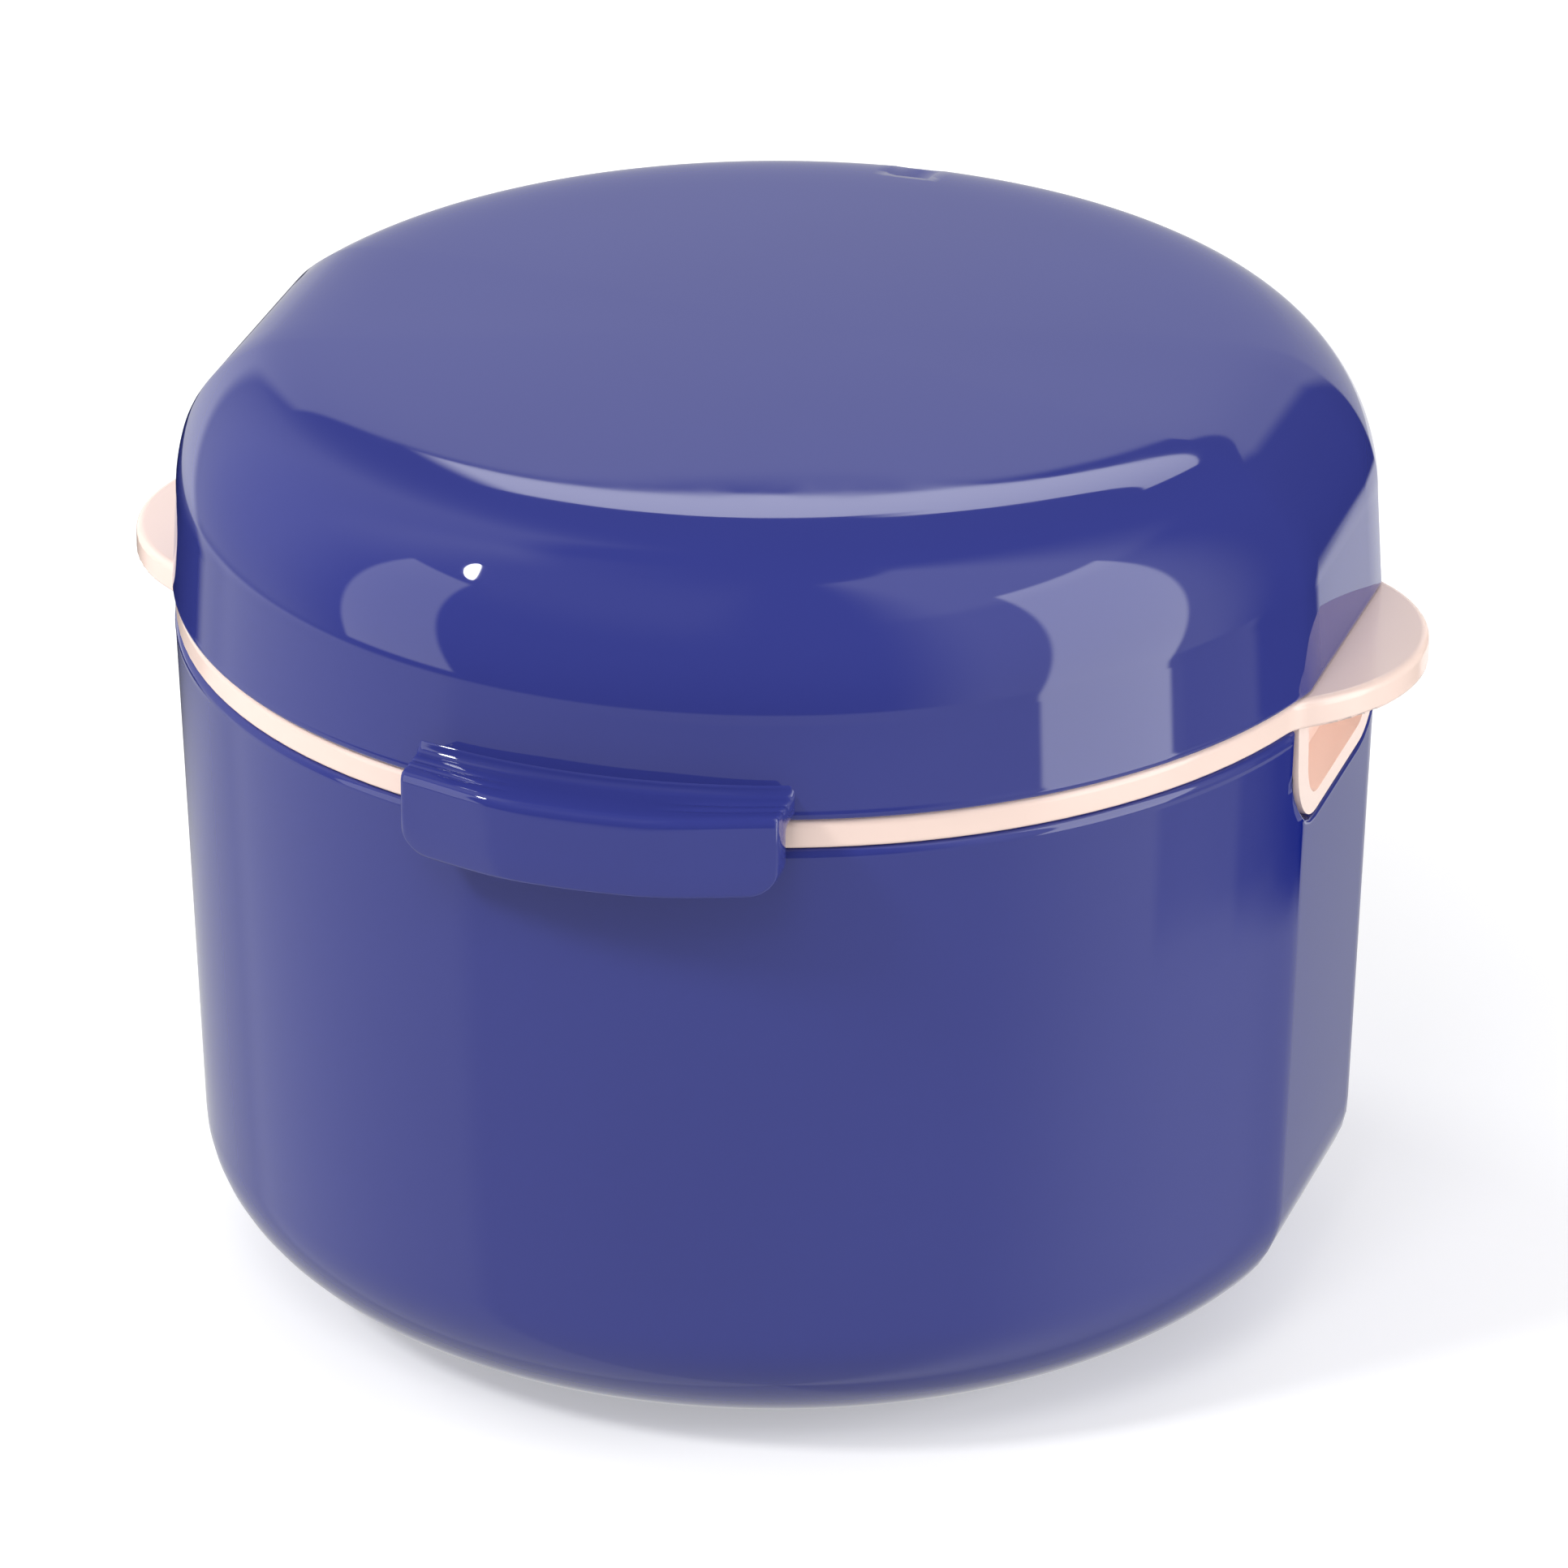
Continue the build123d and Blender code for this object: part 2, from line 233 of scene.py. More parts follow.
def gloss_plastic(name, light, dark, roughness):
    """Moulded plastic: colour drifts a little, gloss is uneven, the skin has faint orange peel."""
    noise_span = (0.3, 0.7)
    material, nodes, links = new_material(name)
    output = nodes.new("ShaderNodeOutputMaterial")
    shader = nodes.new("ShaderNodeBsdfPrincipled")
    shader.inputs["IOR"].default_value = 1.5
    links.new(shader.outputs[0], output.inputs[0])
    place = nodes.new("ShaderNodeTexCoord")

    tint = nodes.new("ShaderNodeValToRGB")
    for stop, position, colour in zip(tint.color_ramp.elements, noise_span, (dark, light)):
        stop.position = position
        stop.color = (*colour, 1.0)
    drift = add_noise(nodes, links, place, scale=22.0, detail=3.0)
    links.new(drift, tint.inputs["Fac"])
    links.new(tint.outputs["Color"], shader.inputs["Base Color"])

    haze = add_noise(nodes, links, place, scale=160.0, detail=4.0)
    gloss = add_range(nodes, links, haze, noise_span, roughness)
    links.new(gloss, shader.inputs["Roughness"])

    skin = add_noise(nodes, links, place, scale=90.0, detail=1.0)
    bump = nodes.new("ShaderNodeBump")
    bump.inputs["Strength"].default_value = 0.02
    bump.inputs["Distance"].default_value = 0.0002
    links.new(skin, bump.inputs["Height"])
    links.new(bump.outputs["Normal"], shader.inputs["Normal"])
    return material


def dress(node, material):
    """Gives a CAD node that stays visible its finish."""
    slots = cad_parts[node].data.materials
    slots.clear()
    slots.append(material)


# ---------------------------------------------------------------- curves
def arc(centre, run, rise, start, end, steps):
    """Points on an ellipse, angles in degrees from the first axis towards the second."""
    turns = np.radians(np.linspace(start, end, steps + 1))
    return [(centre[0] + run * cos(t), centre[1] + rise * sin(t)) for t in turns]


def round_arc(centre, radius, start, end, steps):
    return arc(centre, radius, radius, start, end, steps)


def bezier(a, b, c, d, steps):
    """Points on a cubic curve from a to d that sets out towards b and arrives from c."""
    corners = np.array([a, b, c, d])
    points = []
    for t in np.linspace(0, 1, steps + 1):
        weights = np.array([(1 - t) ** 3, 3 * t * (1 - t) ** 2, 3 * t * t * (1 - t), t**3])
        points.append(tuple(weights @ corners))
    return points


# ---------------------------------------------------------------- plan form
def crease_angle(radius):
    """Half the angle that a flat takes from a ring."""
    return acos(1 - flat_depth / radius)


def plan_ring(radius, flat_stops, round_stops):
    """One ring of the plan form, anticlockwise from +X. Its flat and its round part each keep
    their own share of the columns, so the crease between them is always a column."""
    full = max(radius, smallest_ring)
    crease = crease_angle(full)
    angles = crease + (pi / 2 - crease) * np.array(round_stops)
    x = np.concatenate([np.full(len(flat_stops), full - flat_depth), full * np.cos(angles)])
    y = np.concatenate([full * sin(crease) * np.array(flat_stops), full * np.sin(angles)])
    x = x * radius / full
    y = y * radius / full
    half_x = np.concatenate([x, -x[-2::-1]])
    half_y = np.concatenate([y, y[-2::-1]])
    ring_x = np.concatenate([half_x, half_x[-2:0:-1]])
    ring_y = np.concatenate([half_y, -half_y[-2:0:-1]])
    return ring_x, ring_y


def ring_rows(profile, flat_stops, round_stops):
    """Rows of points, one plan ring per profile point (radius, z)."""
    rows = []
    for radius, z in profile:
        x, y = plan_ring(radius, flat_stops, round_stops)
        rows.append(np.stack([x, y, np.full_like(x, z)], axis=1))
    return np.array(rows)


# ---------------------------------------------------------------- meshes
def grid_faces(rows, columns):
    """Quads between the rows of a grid that closes on itself."""
    faces = []
    for j in range(rows - 1):
        for k in range(columns):
            a = j * columns + k
            b = j * columns + (k + 1) % columns
            faces.append((a, b, b + columns, a + columns))
    return faces


def fan_faces(first, columns, centre):
    return [(first + k, first + (k + 1) % columns, centre) for k in range(columns)]


def unit_rows(vectors):
    return vectors / np.linalg.norm(vectors, axis=1, keepdims=True)


def link_piece(name, points, faces, material):
    """Mesh piece with smooth shading and outward faces. Points are millimetres."""
    form = bmesh.new()
    made = [form.verts.new(Vector(p) * MM) for p in points]
    for face in faces:
        form.faces.new([made[i] for i in face])
    bmesh.ops.recalc_face_normals(form, faces=form.faces)
    mesh = bpy.data.meshes.new(name)
    form.to_mesh(mesh)
    form.free()
    mesh.shade_smooth()
    mesh.materials.append(material)
    piece = bpy.data.objects.new(name, mesh)
    scene.collection.objects.link(piece)
    return piece


def prism(name, outline, near, far, material, upright=False):
    """Straight piece with softened edges: a YZ outline drawn out along X, or XY along Z."""
    ends = []
    for level in (near, far):
        ends += [(a, b, level) if upright else (level, a, b) for a, b in outline]
    count = len(outline)
    faces = [tuple(range(count)), tuple(range(count, 2 * count))]
    faces += [(i, (i + 1) % count, (i + 1) % count + count, i + count) for i in range(count)]
    piece = link_piece(name, ends, faces, material)
    bevel = piece.modifiers.new("soft edges", "BEVEL")
    bevel.width = prism_edge * MM
    bevel.segments = 3
    bevel.limit_method = "ANGLE"
    bevel.angle_limit = radians(35)
    bevel.harden_normals = True
    return piece


def flat_turn(x, y):
    """How far the shading normal at a point turns about Z, for a flat on the +X side and y > 0."""
    radius = max(sqrt(x * x + y * y), abs(x) + flat_depth, smallest_ring)
    crease = crease_angle(radius)
    across = abs(y) / (radius * sin(crease))
    if across < 1 - crease_zone:
        return flat_bend * across * crease / 2
    if across < 1 + crease_zone:
        return 0.0
    beyond = asin(min(1.0, abs(y) / radius)) - crease
    return -flat_bend * crease / 2 * max(0.0, 1 - beyond / flat_fade)


def soften_flats(piece):
    """Bends the shading normals a little at each flat, as moulded corners do, and leaves the form."""
    mesh = piece.data
    normals = []
    for vertex in mesh.vertices:
        x = vertex.co.x / MM
        y = vertex.co.y / MM
        turn = flat_turn(x, y)
        if (x < 0) != (y < 0):
            turn = -turn
        n = vertex.normal
        normals.append((n.x * cos(turn) - n.y * sin(turn), n.x * sin(turn) + n.y * cos(turn), n.z))
    mesh.normals_split_custom_set_from_vertices(normals)


# ---------------------------------------------------------------- lid
def crown_height(radius):
    return crown_z - crown_rise * (radius / shoulder_centre) ** 2


def lid_wall_points(radius, heights):
    return [(radius - (z - lid_edge_z) * tan(lid_draft), z) for z in heights]


def crown_turn(crown_end, shoulder_start):
    """Smooth curve from the crown's slope into the shoulder's."""
    x0, z0 = crown_end
    x1, z1 = shoulder_start
    crown_slope = 2 * crown_rise * crown_edge / shoulder_centre**2
    shoulder_slope = shoulder_rise / shoulder_run * tan(radians(shoulder_join))
    leave = (x0 + crown_lead, z0 - crown_lead * crown_slope)
    arrive = (x1 - crown_tail, z1 + crown_tail * shoulder_slope)
    return bezier(crown_end, leave, arrive, shoulder_start, steps=20)[1:-1]


def lid_outer_profile():
    radii = np.linspace(hub_radius, crown_edge, crown_rows)
    crown = [(r, crown_height(r)) for r in radii]
    centre = (shoulder_centre, shoulder_foot_z)
    shoulder = arc(centre, shoulder_run, shoulder_rise, 90 - shoulder_join, 0, steps=26)
    wall = lid_wall_points(lid_radius, lid_wall_rows)
    return crown + crown_turn(crown[-1], shoulder[0]) + shoulder + wall


def lid_inner_profile():
    """From the lower edge up the inside to the middle."""
    inner_radius = lid_radius - lid_wall
    upwards = lid_wall_rows[::-1][:-1]  # its last row is the start of the shoulder
    wall = lid_wall_points(inner_radius, upwards)
    wall_top = inner_radius - (shoulder_foot_z - lid_edge_z) * tan(lid_draft)
    centre = (shoulder_centre, shoulder_foot_z)
    run = wall_top - shoulder_centre
    shoulder = arc(centre, run, shoulder_rise - lid_wall, 0, shoulder_inner_end, steps=24)
    crown = [(r, crown_height(r) - lid_wall) for r in crown_inner_rows]
    return wall + shoulder + crown


def lid_lip():
    """The lower edge, from the outside to the inside."""
    r = lid_edge_round
    outer = round_arc((lid_radius - r, lid_edge_z + r), r, 0, -90, small_round_steps)
    inner_radius = lid_radius - lid_wall
    inner = round_arc((inner_radius + r, lid_edge_z + r), r, -90, -180, small_round_steps)
    return outer + inner


def lid_round_stops():
    """Columns of the round part: closer at the flats, and one at each edge of the recess."""
    edges = (relief_mouth_half, relief_floor_half)
    recess = [1 - half / relief_radius / relief_arc for half in edges]
    return [*lid_near_flat_columns, *lid_round_columns, *recess, 1]


def sink_recess(rows):
    """Presses the columns at the middle of the rear down to the recess's floor."""
    middle = rows.shape[1] // 4
    for row in rows:
        if row[middle, 1] > relief_start:
            floor_part = row[middle - 1 : middle + 2, 2]
            np.minimum(floor_part, relief_floor_z, out=floor_part)


def add_lid_shell():
    outer = lid_outer_profile()
    profile = outer + lid_lip() + lid_inner_profile()
    rows = ring_rows(profile, lid_flat_columns, lid_round_stops())
    sink_recess(rows[: len(outer)])
    columns = rows.shape[1]
    points = list(rows.reshape(-1, 3)) + [(0, 0, crown_z), (0, 0, crown_z - lid_wall)]
    faces = grid_faces(len(rows), columns)
    faces += fan_faces(0, columns, len(points) - 2)
    faces += fan_faces((len(rows) - 1) * columns, columns, len(points) - 1)
    shell = link_piece("lid_shell", points, faces, navy)
    soften_flats(shell)
    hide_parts("lid")
    return shell


def add_knuckle():
    outline = [
        (knuckle_root_y, hinge_z - arm_foot_drop),
        (knuckle_root_y, hinge_z + arm_root_rise),
        (hinge_y + arm_run, hinge_z + arm_rise),
    ]
    outline += round_arc((hinge_y, hinge_z), knuckle_radius, *knuckle_span, steps=20)
    return prism("lid_knuckle", outline, -knuckle_half, knuckle_half, navy)


def add_lid():
    for piece in (add_lid_shell(), add_knuckle()):
        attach(piece, "lid")


# ---------------------------------------------------------------- cup
def cup_stops():
    """Columns of the flat and of the round part, placed so that the notch's corner is smooth, and
    the number of the column at the notch's outer edge."""
    crease = crease_angle(cup_radius)
    crease_y = cup_radius * sin(crease)
    straight = notch_half - notch_corner
    turns = asin((crease_y - straight) / notch_corner)
    on_flat = [straight + notch_corner * sin(turns * s) for s in notch_inner_shares]
    flat_stops = [y / crease_y for y in [*notch_flat_columns, *on_flat]]
    rest = pi / 2 - turns
    on_wall = [straight + notch_corner * sin(turns + rest * s) for s in notch_outer_shares]
    round_stops = [0] + [(asin(y / cup_radius) - crease) / (pi / 2 - crease) for y in on_wall]
    edge_column = len(flat_stops) + len(on_wall)
    notch_end = round_stops[-1]
    round_stops += [notch_end + after_notch, *np.linspace(notch_end + wall_from, 1, wall_columns)]
    return flat_stops, round_stops, edge_column


def cup_profile(inset, floor_z):
    """Wall and base corner, from the base up to the notches' lower zone."""
    wall_end = cup_radius - inset - (cup_height - base_rise) * tan(cup_draft)
    base_end = wall_end - (base_run - inset)
    profile = [(base_end * share, floor_z) for share in base_ring_shares]
    run = wall_end - base_end
    profile += arc((base_end, base_rise), run, base_rise - floor_z, -90, 0, steps=14)
    levels = np.linspace(base_rise, notch_zone_z, 5)[1:]
    profile += [(cup_radius - inset - (cup_height - z) * tan(cup_draft), z) for z in levels]
    return profile


def cup_row(heights, inset, flat_stops, round_stops):
    """A row on the drafted wall whose points each have their own height."""
    x, y = plan_ring(cup_radius - inset, flat_stops, round_stops)
    length = np.hypot(x, y)
    shrink = (cup_height - heights) * tan(cup_draft)
    on_flat = np.abs(x) > cup_radius - inset - flat_depth - 1e-6
    x = np.where(on_flat, x - np.sign(x) * shrink, x * (1 - shrink / length))
    y = np.where(on_flat, y, y * (1 - shrink / length))
    return np.stack([x, y, heights], axis=1)


def cup_sheet(inset, floor_z, flat_stops, round_stops):
    """One skin of the cup's wall. Its top rows bend around the two notches under the handles."""
    rows = list(ring_rows(cup_profile(inset, floor_z), flat_stops, round_stops))
    corner_z = notch_foot_z + notch_corner
    top_x, top_y = plan_ring(cup_radius, flat_stops, round_stops)
    run = np.clip((np.abs(top_y) - (notch_half - notch_corner)) / notch_corner, 0, 1)
    notch_z = corner_z - notch_corner * np.sqrt(1 - run**2)
    for share in notch_row_shares:
        heights = notch_zone_z + share * (notch_z - notch_zone_z)
        rows.append(cup_row(heights, inset, flat_stops, round_stops))
    for z in (corner_z + notch_row_rise, *(cup_height - drop for drop in rim_row_drops)):
        rows.append(cup_row(np.full_like(top_x, z), inset, flat_stops, round_stops))
    return np.array(rows)


def rim_loop(rows, columns, notch_row, edge_column):
    """Grid places along the cup's upper edge, down and up again at each notch, and the columns
    that lie inside a notch."""
    sides = (0, columns // 2)
    inside = np.zeros(columns, bool)
    for side in sides:
        for k in range(side - edge_column + 1, side + edge_column):
            inside[k % columns] = True
    loop = []
    for k in range(edge_column, edge_column + columns):
        k %= columns
        if inside[k]:
            loop.append((notch_row, k))
        elif inside[(k - 1) % columns]:
            loop += [(j, k) for j in range(notch_row, rows)]
        elif inside[(k + 1) % columns]:
            loop += [(j, k) for j in range(rows - 1, notch_row - 1, -1)]
        else:
            loop.append((rows - 1, k))
    return list(dict.fromkeys(loop)), inside


def round_the_rim(outer, inner, picks, edge_column):
    """Rings of points over the upper edge. It also draws both skins back to where the round
    begins."""
    rows, columns = outer.shape[:2]
    outer_edge = outer[picks].copy()
    inner_edge = inner[picks].copy()
    inward = unit_rows(inner_edge - outer_edge)
    along = unit_rows(np.roll(outer_edge, -1, axis=0) - outer_edge)
    after = np.cross(inward, along)
    before = np.roll(after, 1, axis=0)
    out = (after + before) / (1 + np.sum(after * before, axis=1, keepdims=True))
    if out[np.argmax(outer_edge[:, 1]), 2] < 0:
        out = -out
    corners = [side + turn for side in (0, columns // 2) for turn in (-edge_column, edge_column)]
    on_rim = (picks[0] == rows - 1) & ~np.isin(picks[1], [k % columns for k in corners])
    outer_small = np.where(on_rim, rim_round, notch_round)[:, None]
    inner_small = np.where(on_rim, inner_round, notch_round)[:, None]
    lip = []
    for turn in np.radians((30, 60, 90)):
        lip.append(outer_edge + outer_small * (inward * (1 - cos(turn)) - out * (1 - sin(turn))))
    for turn in np.radians((90, 60, 30)):
        lip.append(inner_edge - inner_small * (inward * (1 - cos(turn)) + out * (1 - sin(turn))))
    outer[picks] = outer_edge - out * outer_small
    inner[picks] = inner_edge - out * inner_small
    return lip


def cup_faces(rows, columns, loop, inside, notch_row, ring_count):
    """Both skins with the notches left open, the two fans of the base, and the bands of the lip."""
    sheet = rows * columns
    hub = 2 * sheet + ring_count * len(loop)
    faces = []
    for base in (0, sheet):
        for j in range(rows - 1):
            for k in range(columns):
                following = (k + 1) % columns
                if j >= notch_row and (inside[k] or inside[following]):
                    continue
                a = base + j * columns + k
                b = base + j * columns + following
                faces.append((a, b, b + columns, a + columns))
        faces += fan_faces(base, columns, hub + (base > 0))
    count = len(loop)
    chain = [[j * columns + k for j, k in loop]]
    chain += [[2 * sheet + ring * count + i for i in range(count)] for ring in range(ring_count)]
    chain += [[sheet + j * columns + k for j, k in loop]]
    for first, second in zip(chain, chain[1:]):
        for i in range(count):
            n = (i + 1) % count
            faces.append((first[i], first[n], second[n], second[i]))
    return faces


def add_cup_shell():
    flat_stops, round_stops, edge_column = cup_stops()
    outer = cup_sheet(0, 0, flat_stops, round_stops)
    inner = cup_sheet(cup_wall, cup_floor, flat_stops, round_stops)
    rows, columns = outer.shape[:2]
    notch_row = rows - len(rim_row_drops) - 2  # one more row lies between it and those at the rim
    loop, inside = rim_loop(rows, columns, notch_row, edge_column)
    lip = round_the_rim(outer, inner, tuple(np.array(loop).T), edge_column)
    points = list(outer.reshape(-1, 3)) + list(inner.reshape(-1, 3)) + list(np.concatenate(lip))
    points += [(0, 0, 0), (0, 0, cup_floor)]
    faces = cup_faces(rows, columns, loop, inside, notch_row, len(lip))
    used = sorted({i for face in faces for i in face})
    renumber = {old: new for new, old in enumerate(used)}
    faces = [tuple(renumber[i] for i in face) for face in faces]
    shell = link_piece("cup_shell", [points[i] for i in used], faces, navy)
    soften_flats(shell)
    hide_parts("cup")
    return shell


def add_saddles():
    """Two ears, each with a slot that is open upwards and holds an end of the pin."""
    pin = (hinge_y, hinge_z)
    slot_turn = np.degrees(asin(pin_slot / knuckle_radius))
    root_z = cup_height - rim_round
    outline = [
        (saddle_root_y, cup_height - saddle_drop),
        (hinge_y + knuckle_radius, hinge_z - saddle_cheek),
    ]
    outline += round_arc(pin, knuckle_radius, 0, 90 - slot_turn, steps=8)
    outline += round_arc(pin, pin_slot, 0, -180, steps=14)
    outline += round_arc(pin, knuckle_radius, 90 + slot_turn, 180, steps=8)
    outline += [(hinge_y - knuckle_radius, root_z), (saddle_root_y, root_z)]
    right = prism("saddle_right", outline, saddle_near, saddle_far, navy)
    left = prism("saddle_left", outline, -saddle_far, -saddle_near, navy)
    return right, left


def add_catch():
    turn = np.degrees(asin(hook_half / catch_radius))
    outline = round_arc((0, 0), catch_radius, -90 - turn, -90 + turn, steps=16)
    outline += [(hook_half, catch_root_end_y), (0, catch_root_y), (-hook_half, catch_root_end_y)]
    top = catch_foot_z + catch_height
    return prism("catch", outline, catch_foot_z, top, navy, upright=True)


def add_cup():
    for piece in (add_cup_shell(), *add_saddles(), add_catch()):
        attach(piece, "cup")


# ---------------------------------------------------------------- latch
def latch_section():
    """Closed outline (radius, z) of the latch: lid root, shelf, front wall, foot and back. With it
    comes how deep each point sinks into a groove, where the grooves have their full depth."""
    root = lid_radius - latch_bite
    wall_in = latch_radius - latch_wall
    fillet_z = shelf_z + shelf_fillet
    fillet_radius = lid_radius - (fillet_z - lid_edge_z) * tan(lid_draft) + shelf_fillet
    points = [(root, fillet_z)]
    points += round_arc((fillet_radius, fillet_z), shelf_fillet, 180, 270, steps=5)
    depths = [0.0] * len(points)
    for groove in grooves:
        for share in np.linspace(0, 1, groove_points):
            points.append((groove + share * groove_width, shelf_z))
            depths.append(groove_depth * sin(pi * share**groove_lean) ** 2)
    r = shelf_round
    points += round_arc((latch_radius - r, shelf_z - r), r, 90, 0, steps=6)
    points += [(latch_radius, latch_upper_z), (latch_radius, latch_middle_z)]
    r = latch_end_round
    points += round_arc((latch_radius - r, latch_foot_z + r), r, 0, -90, small_round_steps)
    points += round_arc((wall_in + r, latch_foot_z + r), r, -90, -180, small_round_steps)
    points += [(wall_in, latch_middle_z), (wall_in, latch_upper_z)]
    r = shelf_inner_fillet
    points += round_arc((wall_in - r, shelf_foot_z - r), r, 0, 90, small_round_steps)
    points += [(root, shelf_foot_z)]
    depths += [0.0] * (len(points) - len(depths))
    return np.array(points), np.array(depths)


def inward_normals(section):
    """Unit vectors into a closed outline, at its points."""
    back = unit_rows(np.roll(section, 1, axis=0) - section)
    forth = unit_rows(np.roll(section, -1, axis=0) - section)
    tangent = unit_rows(forth - back)
    return np.stack([tangent[:, 1], -tangent[:, 0]], axis=1)


def latch_stations():
    """Places across the latch (x, inset): rounded ends, close rows at the corners, then the rest."""
    r = latch_end_round
    end_turns = np.radians((90, 60, 30, 0))
    stations = [(latch_half - r * (1 - sin(t)), r * (1 - cos(t))) for t in end_turns]
    stations += [(latch_half - latch_corner * share, 0) for share in latch_corner_shares]
    middle = np.linspace(latch_half - latch_corner, 0, latch_middle_rows)[1:]
    stations += [(x, 0) for x in middle]
    return [(-x, inset) for x, inset in stations[:-1]] + stations[::-1]


def latch_loop(outline, depths, x):
    """The section's outline at one place across, with its corner lift, grooves and set-back."""
    into_corner = max(0.0, abs(x) - (latch_half - latch_corner))
    lift = latch_corner - sqrt(max(0.0, latch_corner**2 - into_corner**2))
    lowered = (latch_upper_z - outline[:, 1]) / (latch_upper_z - latch_foot_z)
    z = outline[:, 1] + lift * np.clip(lowered, 0, 1)
    z -= depths * np.clip((abs(x) - groove_from) / (groove_to - groove_from), 0, 1)
    beyond = max(0.0, abs(x) - latch_straight) / (latch_half - latch_straight)
    reach = np.clip((outline[:, 0] - lid_radius) / (latch_radius - lid_radius), 0, 1)
    y = latch_ease * beyond**2 * (3 - 2 * beyond) * reach - np.sqrt(outline[:, 0] ** 2 - x * x)
    return np.stack([np.full_like(z, x), y, z], axis=1)


def add_latch_flap():
    section, depths = latch_section()
    inward = inward_normals(section)
    loops = [latch_loop(section + inset * inward, depths, x) for x, inset in latch_stations()]
    count = len(section)
    points = list(np.concatenate(loops))
    faces = grid_faces(len(loops), count)
    faces += [tuple(range(count)), tuple(range(len(points) - count, len(points)))]
    flap = link_piece("latch_flap_and_ledge", points, faces, navy)
    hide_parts("latch_flap")
    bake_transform(flap)


def add_latch_hook():
    root_radius = latch_radius - latch_wall + hook_bite
    turn = np.degrees(asin(hook_half / root_radius))
    outline = [(-hook_half, hook_face_y), (hook_half, hook_face_y)]
    outline += round_arc((0, 0), root_radius, -90 + turn, -90 - turn, steps=12)
    top = latch_foot_z + hook_height
    hook = prism("latch_hook", outline, latch_foot_z, top, navy, upright=True)
    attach(hook, "latch")


# ---------------------------------------------------------------- camera and lamps
def add_camera(azimuth, elevation, distance, aim, lens):
    data = bpy.data.cameras.new("camera")
    data.sensor_width = 36.0
    data.lens = lens
    data.clip_start = 0.05
    data.clip_end = 50.0
    scene.camera = link_aimed("camera", data, direction(azimuth, elevation), aim, distance)


def add_lamp(name, azimuth, elevation, size, power):
    """Soft round lamp that aims at the case. It lights only; reflections come from the world."""
    data = bpy.data.lights.new(name, "AREA")
    data.shape = "DISK"
    data.size = size
    data.energy = power
    toward = direction(azimuth, elevation)
    lamp = link_aimed(name, data, toward, target=(0, 0, 0.05), distance=1.5)
    lamp.visible_glossy = False


# ---------------------------------------------------------------- floor
def add_floor(paleness, glow):
    """Pale paper that keeps the shadow near the case. For the camera it also glows, more with the
    distance from the case, so that it fades to white."""
    mesh = bpy.data.meshes.new("floor")
    form = bmesh.new()
    bmesh.ops.create_grid(form, x_segments=2, y_segments=2, size=3.0)
    form.to_mesh(mesh)
    form.free()
    floor = bpy.data.objects.new("floor", mesh)
    scene.collection.objects.link(floor)
    material, nodes, links = new_material("floor_paper")
    output = nodes.new("ShaderNodeOutputMaterial")
    diffuse = nodes.new("ShaderNodeBsdfDiffuse")
    diffuse.inputs["Color"].default_value = (paleness, paleness, paleness, 1)
    place = nodes.new("ShaderNodeTexCoord")
    distance = nodes.new("ShaderNodeVectorMath")
    distance.operation = "LENGTH"
    links.new(place.outputs["Object"], distance.inputs[0])
    fade_span = (0.2, 1.5)  # metres
    fade = add_range(nodes, links, distance.outputs["Value"], fade_span, glow, smooth=True)
    paths = nodes.new("ShaderNodeLightPath")
    shown = nodes.new("ShaderNodeMath")
    shown.operation = "MULTIPLY"
    links.new(paths.outputs["Is Camera Ray"], shown.inputs[0])
    links.new(fade, shown.inputs[1])
    paper = nodes.new("ShaderNodeEmission")
    links.new(shown.outputs[0], paper.inputs["Strength"])
    both = nodes.new("ShaderNodeAddShader")
    links.new(diffuse.outputs[0], both.inputs[0])
    links.new(paper.outputs[0], both.inputs[1])
    links.new(both.outputs[0], output.inputs[0])
    mesh.materials.append(material)
    floor.visible_glossy = False


# ---------------------------------------------------------------- world
class WorldMaths:
    """Math nodes of the world's shader, written as calls. Values are numbers or sockets."""

    def __init__(self, nodes, links):
        self.nodes = nodes
        self.links = links

    def calculate(self, operation, *values):
        node = self.nodes.new("ShaderNodeMath")
        node.operation = operation
        for socket, value in zip(node.inputs, values):
            if isinstance(value, (int, float)):
                socket.default_value = value
            else:
                self.links.new(value, socket)
        return node.outputs[0]

    def step(self, value, low, high):
        """0 below low, 1 above high, smooth between; the other way round if low is above high."""
        target = (float(low > high), float(low < high))
        return add_range(self.nodes, self.links, value, sorted((low, high)), target, smooth=True)

    def direction_angles(self):
        """Azimuth and elevation of the seen direction, in degrees."""
        place = self.nodes.new("ShaderNodeTexCoord")
        split = self.nodes.new("ShaderNodeSeparateXYZ")
        self.links.new(place.outputs["Generated"], split.inputs[0])
        x, y, z = split.outputs
        azimuth = self.calculate("ARCTAN2", x, self.calculate("MULTIPLY", y, -1.0))
        elevation = self.calculate("ARCSINE", z)
        return self.calculate("DEGREES", azimuth), self.calculate("DEGREES", elevation)


